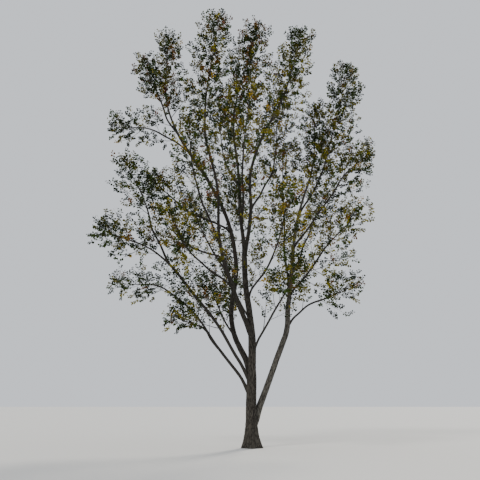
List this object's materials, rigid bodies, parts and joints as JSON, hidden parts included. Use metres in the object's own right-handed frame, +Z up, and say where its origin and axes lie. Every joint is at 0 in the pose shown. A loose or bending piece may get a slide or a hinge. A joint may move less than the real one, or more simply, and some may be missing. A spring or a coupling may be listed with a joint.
{
  "type": "poplar tree",
  "caption": "Tall open-crowned poplar in early autumn leaf, forking low into a leaning second stem and rising boughs, each ending in a plume of twigs and leaves.",
  "frame": {"origin": "centre of the flat cut under the trunk, at ground level", "axes": "+Z up; +X towards the side to which the second stem leans; +Y towards the side that the picture doesn't show"},
  "size_m": [12.2978, 8.6433, 19.5512],
  "materials": {
    "bark_trunk": "rough furrowed grey-brown bark",
    "bark_limbs": "shallowly furrowed grey bark",
    "foliage_green": "matt deep green leaves",
    "foliage_olive": "matt olive green leaves",
    "foliage_gold": "matt yellow-green leaves",
    "foliage_bronze": "matt bronze leaves"
  },
  "bodies": {
    "root": {"trunk": "bark_trunk", "second_stem": "bark_limbs", "left_lowest_bough": "bark_limbs", "left_low_bough": "bark_limbs", "far_left_bough": "bark_limbs", "front_low_bough": "bark_limbs", "high_left_bough": "bark_limbs", "back_low_bough": "bark_limbs", "front_right_bough": "bark_limbs", "high_right_bough": "bark_limbs", "back_middle_bough": "bark_limbs", "front_middle_bough": "bark_limbs", "back_high_bough": "bark_limbs", "right_back_bough": "bark_limbs", "right_lowest_bough": "bark_limbs", "right_low_bough": "bark_limbs", "back_right_bough": "bark_limbs", "right_side_bough": "bark_limbs", "top_right_bough": "bark_limbs", "right_inner_bough": "bark_limbs", "left_inner_bough": "bark_limbs", "left_middle_bough": "bark_limbs", "front_left_bough": "bark_limbs", "inner_low_bough": "bark_limbs", "back_left_bough": "bark_limbs", "left_shoulder_bough": "bark_limbs", "left_arm_bough": "bark_limbs", "left_crest_bough": "bark_limbs", "left_side_bough": "bark_limbs", "left_foot_bough": "bark_limbs", "foliage_crown_top": "foliage_bronze", "foliage_top_left": "foliage_bronze", "foliage_high_left": "foliage_bronze", "foliage_left_crest": "foliage_bronze", "foliage_front_right": "foliage_gold", "foliage_front_middle": "foliage_gold", "foliage_right_back": "foliage_gold", "foliage_right_low": "foliage_gold", "foliage_right_inner": "foliage_gold", "foliage_left_inner": "foliage_gold", "foliage_left_middle": "foliage_gold", "foliage_right_middle": "foliage_olive", "foliage_front_low": "foliage_olive", "foliage_high_right": "foliage_olive", "foliage_back_middle": "foliage_olive", "foliage_back_high": "foliage_olive", "foliage_back_right": "foliage_olive", "foliage_right_side": "foliage_olive", "foliage_front_left": "foliage_olive", "foliage_back_left": "foliage_olive", "foliage_left_lowest": "foliage_green", "foliage_left_low": "foliage_green", "foliage_back_low": "foliage_green", "foliage_right_lowest": "foliage_green", "foliage_top_right": "foliage_green", "foliage_inner_low": "foliage_green", "foliage_left_shoulder": "foliage_green", "foliage_left_arm": "foliage_green", "foliage_left_side": "foliage_green", "foliage_left_foot": "foliage_green"}
  },
  "joints": []
}
